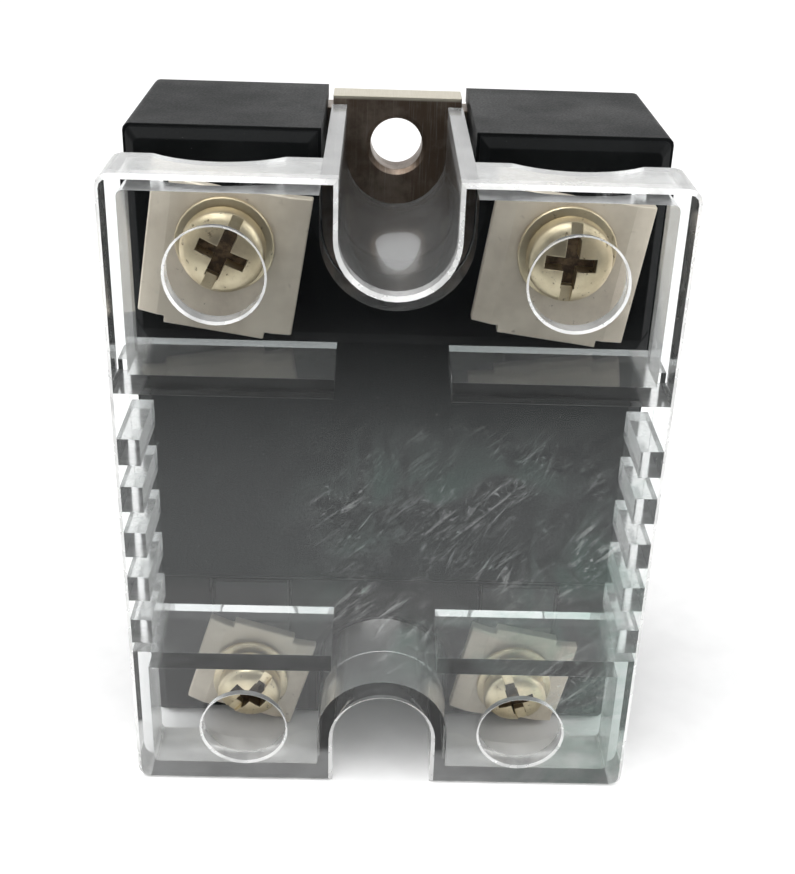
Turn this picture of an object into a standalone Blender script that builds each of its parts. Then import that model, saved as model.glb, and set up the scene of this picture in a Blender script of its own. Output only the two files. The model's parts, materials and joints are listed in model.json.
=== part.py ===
"""Panel-mount solid state relay with a clear push-on terminal cover.

The relay stands on its lower end: +Z runs up its length, the cover faces -Y and the metal
baseplate faces +Y. The origin is the middle of the footprint that it stands on. The two load
terminals are at the upper end and the two smaller control terminals at the lower end.
"""

import math

import bmesh
import bpy

MM = 0.001

# Overall sizes
HOUSING_WIDTH = 45.0 * MM
HOUSING_HEIGHT = 59.2 * MM
HOUSING_DEPTH = 18.1 * MM  # centre block's front face to the housing's back rim
COVER_STANDOFF = 9.4 * MM  # cover's front face to the centre block's front face
BASEPLATE_PROUD = 0.3 * MM  # the baseplate stands this far behind the housing's rim
REST_GAP = 0.3 * MM  # between pieces that rest on each other
SLOT_GAP = 0.4 * MM  # round a strap's leg

# Housing
BLOCK_RISE = 0.6 * MM  # centre block's front face in front of the terminal floors
BLOCK_SIDE_INSET = 0.9 * MM
HOUSING_WALL = 1.9 * MM
FRONT_WALL = 2.4 * MM
HOUSING_CORNER = 0.6 * MM
CAP_INSET = 0.25 * MM  # the front cap is this much smaller all round than the case
CAP_CHAMFER = 0.75 * MM
CAP_DEPTH = 0.95 * MM
NOTCH_WALL = 1.6 * MM
LEAST_CORNER = 0.5 * MM  # corner radius of a hollow whose outside corner is small
BOSS_TO_POTTING = 1.0 * MM
BOSS_WALL = 1.4 * MM

# Cover
COVER_OVERHANG = 0.3 * MM  # cover's side past the housing's side
COVER_SHORTFALL = 1.15 * MM  # cover's upper end below the housing's upper end
COVER_WALL = 1.45 * MM
COVER_CORNER = 1.1 * MM
COVER_EDGE = 0.35 * MM
HOOD_DEPTH = 6.2 * MM
CHANNEL_HALF_WIDTH = 4.6 * MM  # inside of the cover's U-shaped channels
UPPER_CHANNEL_REACH = 9.15 * MM
LOWER_CHANNEL_REACH = 9.7 * MM
CHANNEL_STEP = 0.1 * MM  # the channels are this much thinner behind the hood
CHANNEL_CLEARANCE = 0.3 * MM
RIB_THICKNESS = 1.75 * MM
UPPER_RIB_REACH = 16.65 * MM  # cover's upper end to the upper ribs' top face
LOWER_RIB_REACH = 14.0 * MM  # cover's lower end to the lower ribs' top face
RIB_HALF_GAP = 4.8 * MM  # half the space between the left and right ribs
TOOTH_PITCH = 4.5 * MM  # rounded to fill the comb evenly
TOOTH_THICKNESS = 2.0 * MM
TOOTH_HEIGHT = 2.45 * MM
TOOTH_ZONE_TOP = 4.15 * MM  # upper rib's lower face to the first tooth
TOOTH_ZONE_BOTTOM = 1.0 * MM  # last tooth to the lower rib's top face
TOOTH_INSET = 0.1 * MM  # the teeth and the ribs end this far inside the cover's side
SCALLOP_MARGIN = 2.45 * MM  # half the width that a scallop leaves of its bay
SCALLOP_DEPTH = 2.0 * MM
ACCESS_RADIUS = 3.86 * MM
ACCESS_CHAMFER = 0.2 * MM

# Baseplate
BASEPLATE_THICKNESS = 3.0 * MM
BASEPLATE_END_INSET = 0.4 * MM
BASEPLATE_SEAT = 0.7 * MM  # ledge all round behind which the baseplate sits
TAB_CLEARANCE = 0.5 * MM
MOUNTING_RADIUS = 2.4 * MM
UPPER_HOLE_FROM_END = 4.8 * MM
LOWER_SLOT_FROM_END = 6.8 * MM  # centre of the slot's round end
HOLE_CHAMFER = 0.4 * MM

# Terminals
STRAP_THICKNESS = 0.8 * MM
STRAP_SINK = 0.2 * MM  # strap's front face below the terminal floor
STRAP_TO_STEP = 0.6 * MM
CLAMP_THICKNESS = 1.0 * MM
CLAMP_STANDOFF = 0.7 * MM  # terminal floor to the clamp plate's back face
WING_WIDTH = 1.7 * MM
NIB_LENGTH = 0.6 * MM
WASHER_THICKNESS = 0.65 * MM
HOLE_CLEARANCE = 0.25 * MM  # radial, round a screw's shank
RECESS_WIDTH = 1.15 * MM
RECESS_DEPTH = 1.7 * MM
SLOT_WIDTH = 0.95 * MM
SLOT_DEPTH = 1.0 * MM
BORE_MARGIN = 1.2 * MM  # screw's tip to the end of its blind bore

LOAD = {
    "end": 1,
    "floor_length": 17.3 * MM,
    "screw_from_end": 8.9 * MM,
    "screw_inward": -0.35 * MM,  # from the middle of the terminal bay
    "head_radius": 3.5 * MM,
    "head_height": 2.4 * MM,
    "shank_radius": 1.95 * MM,
    "shank_length": 9.0 * MM,
    "washer_radius": 4.1 * MM,
    "bay_clearance": 1.1 * MM,
    "inner_reach": 7.9 * MM,
    "outer_reach": 4.8 * MM,
    "nut_flats": 7.0 * MM,
    "nut_height": 3.0 * MM,
    "strap_width": 8.4 * MM,
    "foot_length": 7.5 * MM,
}
CONTROL = {
    "end": -1,
    "floor_length": 16.5 * MM,
    "screw_from_end": 6.1 * MM,
    "screw_inward": 0.9 * MM,
    "head_radius": 3.0 * MM,
    "head_height": 2.1 * MM,
    "shank_radius": 1.7 * MM,
    "shank_length": 8.0 * MM,
    "washer_radius": 3.6 * MM,
    "bay_clearance": 2.4 * MM,
    "inner_reach": 4.9 * MM,
    "outer_reach": 4.5 * MM,
    "nut_flats": 5.5 * MM,
    "nut_height": 2.6 * MM,
    "strap_width": 7.0 * MM,
    "foot_length": 4.5 * MM,
}
# Name: terminal kind, side, clamp plate's tilt and screw slot's angle in degrees
TERMINALS = {
    "load_left": (LOAD, -1, 9.0, 25.0),
    "load_right": (LOAD, 1, 8.0, 4.0),
    "control_left": (CONTROL, -1, 17.0, 40.0),
    "control_right": (CONTROL, 1, 12.0, -20.0),
}

# Power stage and control board
CERAMIC_SIDE_MARGIN = 3.1 * MM  # cavity wall to the ceramic's edge
CERAMIC_TO_BAY = 1.525 * MM  # load terminal floor to the ceramic's upper edge
CERAMIC_HEIGHT = 21.0 * MM
CERAMIC_THICKNESS = 0.8 * MM
CERAMIC_MARGIN = 0.8 * MM
PAD_THICKNESS = 0.4 * MM
PAD_SPACE = 0.9 * MM
GATE_PAD_HEIGHT = 1.4 * MM
SOURCE_PAD_WIDTH = 10.8 * MM
DIE_SIZE = 5.5 * MM
DIE_THICKNESS = 0.4 * MM
DIE_PITCH = 7.3 * MM
DIES_OFFSET = 5.84 * MM  # middle of the two dies to the left of the relay's middle
CLIP_THICKNESS = 0.5 * MM
CLIP_HEIGHT = 4.0 * MM
BRIDGE_DROP = 2.5 * MM  # ceramic's middle to the dies' middle
PIN_RADIUS = 0.35 * MM
BOARD_THICKNESS = 1.6 * MM
BOARD_SIDE_MARGIN = 2.6 * MM
BOARD_LOWER_MARGIN = 2.0 * MM
BOARD_UPPER_MARGIN = 1.0 * MM
POTTING_THICKNESS = 1.6 * MM
POTTING_TO_CLIP = 0.4 * MM

# Components in front of the control board
CHIP_TAPER = 0.08  # share of the body's smaller size
CHIP_LIFT = 0.15 * MM  # body above its own seat on the board
CAP_REACH = 0.25 * MM  # an end cap past the body, and over it
CAP_SHARE = 0.9  # an end cap's depth and width, of the body's
LEAD_REACH = 0.9 * MM
LEAD_SINK = 0.4 * MM
LEAD_FOOT = 0.4 * MM
LEAD_THICKNESS = 0.2 * MM
LEAD_LEVEL = 0.45  # where a lead leaves the body, of its depth
LEAD_SHARE = 0.4  # a lead's width, of the pitch
ZENER_RADIUS = 0.75 * MM
ZENER_LENGTH = 3.5 * MM
ZENER_CAP_RADIUS = 0.85 * MM
ZENER_CAP_LENGTH = 0.5 * MM
ZENER_PLACE = (9.0 * MM, 1.0 * MM)
# Name: X and Z from the board's middle, then width, depth and height
CAPPED_CHIPS = {
    "input_resistor": (-9.0 * MM, -5.0 * MM, 5.4 * MM, 0.6 * MM, 3.2 * MM),
    "bleed_resistor": (-9.0 * MM, 1.0 * MM, 3.0 * MM, 0.55 * MM, 1.6 * MM),
    "gate_resistor": (9.0 * MM, 6.0 * MM, 3.0 * MM, 0.55 * MM, 1.6 * MM),
    "gate_capacitor": (0.0, 7.5 * MM, 3.0 * MM, 1.4 * MM, 2.5 * MM),
    "reverse_diode": (9.0 * MM, -5.0 * MM, 4.2 * MM, 2.1 * MM, 2.6 * MM),
}
# The same, and the number of leads on each side
LEADED_CHIPS = {
    "optocoupler": (0.0, -1.5 * MM, 6.4 * MM, 3.4 * MM, 8.8 * MM, 3),
    "driver_transistor": (-9.0 * MM, 6.0 * MM, 1.6 * MM, 1.1 * MM, 3.0 * MM, 2),
}

ARC_STEPS = 20
ROUND_STEPS = 32
HOLE_STEPS = 40
SMALL_STEPS = 16

# Levels along Y, from the front to the back
COVER_Y = -(COVER_STANDOFF + HOUSING_DEPTH + BASEPLATE_PROUD) / 2
BLOCK_Y = COVER_Y + COVER_STANDOFF
FLOOR_Y = BLOCK_Y + BLOCK_RISE
RIM_Y = BLOCK_Y + HOUSING_DEPTH
PLATE_BACK_Y = RIM_Y + BASEPLATE_PROUD
PLATE_FRONT_Y = PLATE_BACK_Y - BASEPLATE_THICKNESS
CAVITY_Y = FLOOR_Y + FRONT_WALL
HOOD_Y = COVER_Y + HOOD_DEPTH
CERAMIC_Y = PLATE_FRONT_Y - REST_GAP - CERAMIC_THICKNESS
PAD_Y = CERAMIC_Y - REST_GAP - PAD_THICKNESS
DIE_Y = PAD_Y - REST_GAP - DIE_THICKNESS
CLIP_Y = DIE_Y - REST_GAP - CLIP_THICKNESS
POTTING_Y = CLIP_Y - POTTING_TO_CLIP - POTTING_THICKNESS
BOARD_Y = POTTING_Y - REST_GAP - BOARD_THICKNESS
THROUGH = 2.0 * MM  # how far a cutter runs past the face that it opens

# Places in the width and the height
COVER_HALF_WIDTH = HOUSING_WIDTH / 2 + COVER_OVERHANG
COVER_HEIGHT = HOUSING_HEIGHT - COVER_SHORTFALL
CHANNEL_OUTSIDE = CHANNEL_HALF_WIDTH + COVER_WALL
NOTCH_HALF_WIDTH = CHANNEL_OUTSIDE + CHANNEL_CLEARANCE
UPPER_ARC_Z = COVER_HEIGHT - UPPER_CHANNEL_REACH + CHANNEL_HALF_WIDTH
LOWER_ARC_Z = LOWER_CHANNEL_REACH - CHANNEL_HALF_WIDTH
UPPER_RIB_Z = COVER_HEIGHT - UPPER_RIB_REACH
LOWER_RIB_Z = LOWER_RIB_REACH
UPPER_HOLE_Z = HOUSING_HEIGHT - UPPER_HOLE_FROM_END
BAY_INSIDE = CHANNEL_OUTSIDE
BAY_OUTSIDE = COVER_HALF_WIDTH - COVER_WALL
SCALLOP_HALF_WIDTH = (BAY_OUTSIDE - BAY_INSIDE) / 2 - SCALLOP_MARGIN
CERAMIC_HALF_WIDTH = HOUSING_WIDTH / 2 - HOUSING_WALL - CERAMIC_SIDE_MARGIN
CERAMIC_TOP_Z = HOUSING_HEIGHT - LOAD["floor_length"] - CERAMIC_TO_BAY
CERAMIC_Z = CERAMIC_TOP_Z - CERAMIC_HEIGHT / 2
BRIDGE_Z = CERAMIC_Z - BRIDGE_DROP

for old in list(bpy.data.objects):
    bpy.data.objects.remove(old, do_unlink=True)


def material(name, colour, roughness, metallic=0.0, transmission=0.0):
    made = bpy.data.materials.new(name)
    made.use_nodes = True
    shader = made.node_tree.nodes["Principled BSDF"]
    shader.inputs["Base Color"].default_value = (*colour, 1.0)
    shader.inputs["Roughness"].default_value = roughness
    shader.inputs["Metallic"].default_value = metallic
    shader.inputs["Transmission Weight"].default_value = transmission
    return made


BLACK_PLASTIC = material("black_plastic", (0.030, 0.032, 0.033), 0.45)
CLEAR_PLASTIC = material("clear_plastic", (0.92, 0.95, 0.95), 0.06, transmission=1.0)
BASE_METAL = material("nickel_plated_base", (0.52, 0.48, 0.43), 0.32, metallic=1.0)
PLATE_METAL = material("clamp_steel", (0.55, 0.51, 0.46), 0.38, metallic=1.0)
SCREW_METAL = material("screw_steel", (0.66, 0.62, 0.54), 0.30, metallic=1.0)
TINNED_COPPER = material("tinned_copper", (0.70, 0.68, 0.64), 0.35, metallic=1.0)
BARE_COPPER = material("bare_copper", (0.72, 0.38, 0.22), 0.35, metallic=1.0)
CERAMIC = material("alumina", (0.88, 0.87, 0.83), 0.55)
SILICON = material("silicon_die", (0.16, 0.17, 0.20), 0.25, metallic=0.4)
BOARD_GREEN = material("board_laminate", (0.05, 0.22, 0.10), 0.45)
CHIP_BLACK = material("chip_moulding", (0.025, 0.025, 0.028), 0.5)
CHIP_CERAMIC = material("chip_ceramic", (0.45, 0.36, 0.26), 0.5)
DIODE_GLASS = material("diode_glass", (0.55, 0.16, 0.08), 0.2)
POTTING = material("potting_resin", (0.12, 0.12, 0.13), 0.35)


def arc(centre_a, centre_b, radius, start, end, steps):
    """Points along an arc, both ends included. Angles are in degrees."""
    points = []
    for step in range(steps + 1):
        angle = math.radians(start + (end - start) * step / steps)
        points.append((centre_a + radius * math.cos(angle), centre_b + radius * math.sin(angle)))
    return points


def notched_outline(half_width, low, high, corner, inset=0.0, notch_grow=None):
    """Rectangle in X and Z with a U-shaped notch at each end, shrunk by the inset."""
    grow = inset if notch_grow is None else notch_grow
    side = half_width - inset
    bottom = low + inset
    top = high - inset
    radius = max(corner - inset, LEAST_CORNER)
    notch = NOTCH_HALF_WIDTH + grow
    outline = arc(-side + radius, bottom + radius, radius, 180, 270, 3)
    outline.append((-notch, bottom))
    outline += arc(0, LOWER_ARC_Z, notch, 180, 0, ARC_STEPS)
    outline.append((notch, bottom))
    outline += arc(side - radius, bottom + radius, radius, 270, 360, 3)
    outline += arc(side - radius, top - radius, radius, 0, 90, 3)
    outline.append((notch, top))
    outline += arc(0, UPPER_ARC_Z, notch, 0, -180, ARC_STEPS)
    outline.append((-notch, top))
    outline += arc(-side + radius, top - radius, radius, 90, 180, 3)
    return outline


def housing_outline(inset=0.0, notch_grow=None):
    return notched_outline(
        HOUSING_WIDTH / 2, 0.0, HOUSING_HEIGHT, HOUSING_CORNER, inset, notch_grow
    )


def cover_outline(inset=0.0):
    """The cover's walls are inset from its outside, and its channels are inset from theirs."""
    channel = CHANNEL_HALF_WIDTH - NOTCH_HALF_WIDTH + inset
    return notched_outline(COVER_HALF_WIDTH, 0.0, COVER_HEIGHT, COVER_CORNER, inset, channel)


def add_loft(mesh, sections):
    """Join outlines of equal length, each a Y level and its (X, Z) points, and cap both ends."""
    rings = []
    for level, outline in sections:
        rings.append([mesh.verts.new((a, level, b)) for a, b in outline])
    for ring, following in zip(rings, rings[1:]):
        for i in range(len(ring)):
            j = (i + 1) % len(ring)
            mesh.faces.new((ring[i], ring[j], following[j], following[i]))
    mesh.faces.new(rings[0][::-1])
    mesh.faces.new(rings[-1])
    bmesh.ops.remove_doubles(mesh, verts=mesh.verts, dist=0.001 * MM)


def add_prism(mesh, outline, start, end, axis="Y"):
    """Extrude an outline along an axis. Its points are the other two coordinates, in order."""
    place = {
        "X": lambda a, b, h: (h, a, b),
        "Y": lambda a, b, h: (a, h, b),
        "Z": lambda a, b, h: (a, b, h),
    }[axis]
    near = [mesh.verts.new(place(a, b, start)) for a, b in outline]
    far = [mesh.verts.new(place(a, b, end)) for a, b in outline]
    for i in range(len(outline)):
        j = (i + 1) % len(outline)
        mesh.faces.new((near[i], near[j], far[j], far[i]))
    mesh.faces.new(near[::-1])
    mesh.faces.new(far)


def add_box(mesh, low, high):
    outline = [(low[0], low[2]), (high[0], low[2]), (high[0], high[2]), (low[0], high[2])]
    add_prism(mesh, outline, low[1], high[1])


def add_round(mesh, x, z, radius, start, end, steps=ROUND_STEPS):
    add_prism(mesh, arc(x, z, radius, 0, 360, steps)[:-1], start, end)


def add_chamfered_hole(mesh, x, z, radius, face, end, chamfer):
    """Cutter for a round hole that opens with a chamfer in the face that looks towards -Y."""
    lead = THROUGH / 4
    levels = [(face - lead, radius + chamfer + lead), (face + chamfer, radius), (end, radius)]
    sections = [(y, arc(x, z, r, 0, 360, HOLE_STEPS)[:-1]) for y, r in levels]
    add_loft(mesh, sections)


def add_turned(mesh, profile, steps):
    """Turn (radius, y) points about the Y axis. A radius of 0 is a point on the axis."""
    rings = []
    for radius, level in profile:
        if radius == 0:
            rings.append([mesh.verts.new((0, level, 0))])
        else:
            circle = arc(0, 0, radius, 0, 360, steps)[:-1]
            rings.append([mesh.verts.new((a, level, b)) for a, b in circle])
    pairs = list(zip(rings, rings[1:]))
    if len(rings[0]) > 1:
        pairs.append((rings[-1], rings[0]))
    for ring, following in pairs:
        for i in range(steps):
            j = (i + 1) % steps
            if len(ring) == 1:
                mesh.faces.new((ring[0], following[j], following[i]))
            elif len(following) == 1:
                mesh.faces.new((ring[i], ring[j], following[0]))
            else:
                mesh.faces.new((ring[i], ring[j], following[j], following[i]))


def finished(name, mesh, look=None, smooth=False, parent=None, place=(0, 0, 0), turn=0.0):
    """Turn a bmesh into an object. The turn is in degrees about the Y axis."""
    bmesh.ops.recalc_face_normals(mesh, faces=mesh.faces)
    data = bpy.data.meshes.new(name)
    mesh.to_mesh(data)
    mesh.free()
    if look:
        data.materials.append(look)
    if smooth:
        data.shade_smooth()
        data.set_sharp_from_angle(angle=math.radians(35))
    made = bpy.data.objects.new(name, data)
    bpy.context.scene.collection.objects.link(made)
    made.parent = parent
    made.location = place
    made.rotation_euler[1] = math.radians(turn)
    return made


def combine(target, mesh, operation, solver="EXACT"):
    """Add a Boolean to the target with a hidden helper, which moves with the target."""
    helper = finished(f"{target.name}_{operation.lower()}_{len(target.modifiers)}", mesh)
    helper.parent = target
    helper.hide_render = True
    helper.display_type = "WIRE"
    step = target.modifiers.new(operation.title(), "BOOLEAN")
    step.operation = operation
    step.solver = solver
    step.object = helper


def cut(target, mesh):
    combine(target, mesh, "DIFFERENCE")


def join(target, mesh):
    combine(target, mesh, "UNION")


def boxed(name, low, high, look):
    """A plain block, placed by its middle."""
    middle = [(a + b) / 2 for a, b in zip(low, high)]
    half = [(b - a) / 2 for a, b in zip(low, high)]
    mesh = bmesh.new()
    add_box(mesh, [-h for h in half], half)
    return finished(name, mesh, look, place=middle)


def screw_place(kind, side):
    """X and Z of a terminal screw's axis."""
    bay_middle = (BAY_INSIDE + BAY_OUTSIDE) / 2
    x = side * (bay_middle - kind["screw_inward"])
    if kind["end"] > 0:
        return x, HOUSING_HEIGHT - kind["screw_from_end"]
    return x, kind["screw_from_end"]


def leg_reach(kind):
    """From the screw's axis to the near face of the strap's leg, towards the middle."""
    return kind["floor_length"] - kind["screw_from_end"] - STRAP_THICKNESS - STRAP_TO_STEP


def span(kind, z, start, end):
    """Two Z levels, low then high, at distances from the screw towards the middle."""
    levels = (z - kind["end"] * start, z - kind["end"] * end)
    return min(levels), max(levels)


def strap_channel(mesh, kind, side):
    """The strap's bed in the terminal floor and the slot for its leg."""
    x, z = screw_place(kind, side)
    half = kind["strap_width"] / 2 + REST_GAP
    leg = leg_reach(kind)
    far = leg + STRAP_THICKNESS + REST_GAP
    low, high = span(kind, z, -kind["strap_width"] / 2 - REST_GAP, far)
    bed_back = FLOOR_Y + STRAP_SINK + STRAP_THICKNESS + REST_GAP
    add_box(mesh, (x - half, FLOOR_Y - THROUGH, low), (x + half, bed_back, high))


def leg_slot(mesh, kind, side, start, end):
    x, z = screw_place(kind, side)
    half = kind["strap_width"] / 2 + SLOT_GAP
    leg = leg_reach(kind)
    low, high = span(kind, z, leg - SLOT_GAP, leg + STRAP_THICKNESS + SLOT_GAP)
    add_box(mesh, (x - half, start, low), (x + half, end, high))


def hexagon(x, z, flats):
    return arc(x, z, flats / math.sqrt(3), 0, 360, 6)[:-1]


def baseplate_outline(grow=0.0):
    """Rectangle inside the housing's rim, with a tab that fills each mounting notch."""
    rim = HOUSING_WALL - BASEPLATE_SEAT + REST_GAP
    side = HOUSING_WIDTH / 2 - rim + grow
    low = rim - grow
    high = HOUSING_HEIGHT - rim + grow
    tab = NOTCH_HALF_WIDTH - TAB_CLEARANCE + grow
    tab_low = BASEPLATE_END_INSET - grow
    tab_high = HOUSING_HEIGHT - BASEPLATE_END_INSET + grow
    right = [(tab, tab_low), (tab, low), (side, low), (side, high), (tab, high), (tab, tab_high)]
    left = [(-a, b) for a, b in reversed(right)]
    return right + left


def build_baseplate():
    mesh = bmesh.new()
    add_prism(mesh, baseplate_outline(), PLATE_FRONT_Y, PLATE_BACK_Y)
    plate = finished("baseplate", mesh, BASE_METAL)
    start = PLATE_FRONT_Y - THROUGH
    end = PLATE_BACK_Y + THROUGH
    hole = bmesh.new()
    add_chamfered_hole(
        hole, 0, UPPER_HOLE_Z, MOUNTING_RADIUS, PLATE_FRONT_Y, end, HOLE_CHAMFER
    )
    slot = arc(0, LOWER_SLOT_FROM_END, MOUNTING_RADIUS, 0, 180, ROUND_STEPS // 2)
    slot += [(-MOUNTING_RADIUS, -THROUGH), (MOUNTING_RADIUS, -THROUGH)]
    add_prism(hole, slot, start, end)
    cut(plate, hole)
    return plate


def build_housing():
    cap = CAP_INSET + CAP_CHAMFER
    mesh = bmesh.new()
    add_loft(
        mesh,
        [
            (FLOOR_Y, housing_outline(cap)),
            (FLOOR_Y + CAP_CHAMFER, housing_outline(CAP_INSET)),
            (FLOOR_Y + CAP_DEPTH, housing_outline(CAP_INSET)),
            (FLOOR_Y + CAP_DEPTH, housing_outline()),
            (RIM_Y, housing_outline()),
        ],
    )
    housing = finished("housing", mesh, BLACK_PLASTIC)

    low = CONTROL["floor_length"]
    high = HOUSING_HEIGHT - LOAD["floor_length"]
    side = HOUSING_WIDTH / 2 - BLOCK_SIDE_INSET
    block = bmesh.new()
    foot = FRONT_WALL / 4
    edge = [(BLOCK_Y, BLOCK_RISE), (FLOOR_Y + foot, -foot), (CAVITY_Y - foot, -foot)]
    sections = []
    for level, back in edge:
        corners = [(-side, low), (side, low), (side, high), (-side, high)]
        inwards = [(back, back), (-back, back), (-back, -back), (back, -back)]
        sections.append((level, [(a + c, b + d) for (a, b), (c, d) in zip(corners, inwards)]))
    add_loft(block, sections)
    join(housing, block)

    cavity = bmesh.new()
    add_prism(cavity, housing_outline(HOUSING_WALL, NOTCH_WALL), CAVITY_Y, RIM_Y + THROUGH)
    cut(housing, cavity)

    bosses = bmesh.new()
    for kind, side, _tilt, _slot in TERMINALS.values():
        x, z = screw_place(kind, side)
        half = kind["nut_flats"] / 2 + BOSS_WALL
        outer = kind["screw_from_end"] - HOUSING_WALL / 2
        low, high = span(kind, z, -outer, half)
        front = CAVITY_Y - REST_GAP
        back = POTTING_Y - BOSS_TO_POTTING
        add_box(bosses, (x - half, front, low), (x + half, back, high))
    join(housing, bosses)

    recess = bmesh.new()
    add_prism(recess, baseplate_outline(REST_GAP), PLATE_FRONT_Y - REST_GAP, RIM_Y + THROUGH)
    cut(housing, recess)

    beds = bmesh.new()
    for kind, side, _tilt, _slot in TERMINALS.values():
        strap_channel(beds, kind, side)
    cut(housing, beds)

    slots = bmesh.new()
    for kind, side, _tilt, _slot in TERMINALS.values():
        leg_slot(slots, kind, side, FLOOR_Y - THROUGH / 2, CAVITY_Y + THROUGH)
    cut(housing, slots)

    pockets = bmesh.new()
    for kind, side, _tilt, _slot in TERMINALS.values():
        x, z = screw_place(kind, side)
        flats = kind["nut_flats"] + 2 * REST_GAP
        back = nut_front() + kind["nut_height"] + REST_GAP
        add_prism(pockets, hexagon(x, z, flats), FLOOR_Y, back)
    cut(housing, pockets)

    bores = bmesh.new()
    for kind, side, _tilt, _slot in TERMINALS.values():
        x, z = screw_place(kind, side)
        end = FLOOR_Y + shank_tip(kind) + BORE_MARGIN
        radius = kind["shank_radius"] + HOLE_CLEARANCE
        add_round(bores, x, z, radius, FLOOR_Y - THROUGH / 4, end, SMALL_STEPS)
    cut(housing, bores)
    return housing


def build_cover():
    """The shell is cut from one deep block, so that its channels are one piece with the front."""
    channel_end = PLATE_FRONT_Y - REST_GAP
    mesh = bmesh.new()
    add_loft(
        mesh,
        [
            (COVER_Y, cover_outline(COVER_EDGE)),
            (COVER_Y + COVER_EDGE, cover_outline()),
            (channel_end, cover_outline()),
        ],
    )
    cover = finished("clear_cover", mesh, CLEAR_PLASTIC)

    inside_y = COVER_Y + COVER_WALL
    inside = bmesh.new()
    add_prism(inside, cover_outline(COVER_WALL), inside_y, HOOD_Y + THROUGH)
    cut(cover, inside)

    outline = notched_outline(
        COVER_HALF_WIDTH + THROUGH,
        -THROUGH,
        COVER_HEIGHT + THROUGH,
        COVER_CORNER,
        notch_grow=CHANNEL_OUTSIDE - CHANNEL_STEP - NOTCH_HALF_WIDTH,
    )
    outside = bmesh.new()
    add_prism(outside, outline, HOOD_Y, channel_end + THROUGH)
    cut(cover, outside)

    low = LOWER_RIB_Z - RIB_THICKNESS / 2
    high = UPPER_RIB_Z - RIB_THICKNESS / 2
    windows = bmesh.new()
    for side in (-1, 1):
        ends = sorted((side * (COVER_HALF_WIDTH + THROUGH), side * (BAY_OUTSIDE - THROUGH)))
        front = inside_y + TOOTH_INSET
        add_box(windows, (ends[0], front, low), (ends[1], HOOD_Y + THROUGH, high))
    cut(cover, windows)

    root_y = COVER_Y + COVER_WALL / 2
    stand_y = BLOCK_Y - REST_GAP
    outer = COVER_HALF_WIDTH - TOOTH_INSET
    first, pitch, tooth_count = tooth_places()
    feet = bmesh.new()
    for side in (-1, 1):
        ends = sorted((side * RIB_HALF_GAP, side * outer))
        for top in (UPPER_RIB_Z, LOWER_RIB_Z):
            add_box(feet, (ends[0], root_y, top - RIB_THICKNESS), (ends[1], stand_y, top))
        ends = sorted((side * (COVER_HALF_WIDTH - TOOTH_THICKNESS), side * outer))
        for number in range(tooth_count):
            top = first - number * pitch
            add_box(feet, (ends[0], root_y, top - TOOTH_HEIGHT), (ends[1], stand_y, top))
    combine(cover, feet, "UNION", solver="MANIFOLD")

    openings = bmesh.new()
    for kind, side, _tilt, _slot in TERMINALS.values():
        x, z = screw_place(kind, side)
        end = inside_y + THROUGH / 2
        add_chamfered_hole(openings, x, z, ACCESS_RADIUS, COVER_Y, end, ACCESS_CHAMFER)
        add_scallop(openings, kind, x)
    combine(cover, openings, "DIFFERENCE", solver="MANIFOLD")
    return cover


def tooth_places():
    """Top of the first comb tooth, the pitch from one tooth to the next, and how many there are."""
    first = UPPER_RIB_Z - RIB_THICKNESS - TOOTH_ZONE_TOP
    last = LOWER_RIB_Z + TOOTH_ZONE_BOTTOM + TOOTH_HEIGHT
    spaces = max(round((first - last) / TOOTH_PITCH), 1)
    return first, (first - last) / spaces, spaces + 1


def add_scallop(mesh, kind, x):
    """A shallow arc out of the hood's back edge, where the wire enters the terminal."""
    radius = (SCALLOP_HALF_WIDTH**2 + SCALLOP_DEPTH**2) / (2 * SCALLOP_DEPTH)
    centre_y = HOOD_Y - SCALLOP_DEPTH + radius
    reach = math.degrees(math.asin(SCALLOP_HALF_WIDTH / radius))
    outline = arc(x, centre_y, radius, -90 - reach, -90 + reach, ARC_STEPS // 2)
    outline += [(x + SCALLOP_HALF_WIDTH, HOOD_Y + THROUGH / 4)]
    outline += [(x - SCALLOP_HALF_WIDTH, HOOD_Y + THROUGH / 4)]
    if kind["end"] > 0:
        levels = (COVER_HEIGHT - COVER_WALL - THROUGH / 4, COVER_HEIGHT + THROUGH)
    else:
        levels = (-THROUGH, COVER_WALL + THROUGH / 4)
    add_prism(mesh, outline, levels[0], levels[1], axis="Z")


def clamp_front():
    """Front face of a clamp plate, from the terminal floor."""
    return -CLAMP_STANDOFF - CLAMP_THICKNESS


def head_back():
    return clamp_front() - WASHER_THICKNESS - 2 * REST_GAP


def shank_tip(kind):
    return head_back() + kind["shank_length"]


def nut_front():
    return FLOOR_Y + STRAP_SINK + STRAP_THICKNESS + REST_GAP


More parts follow.
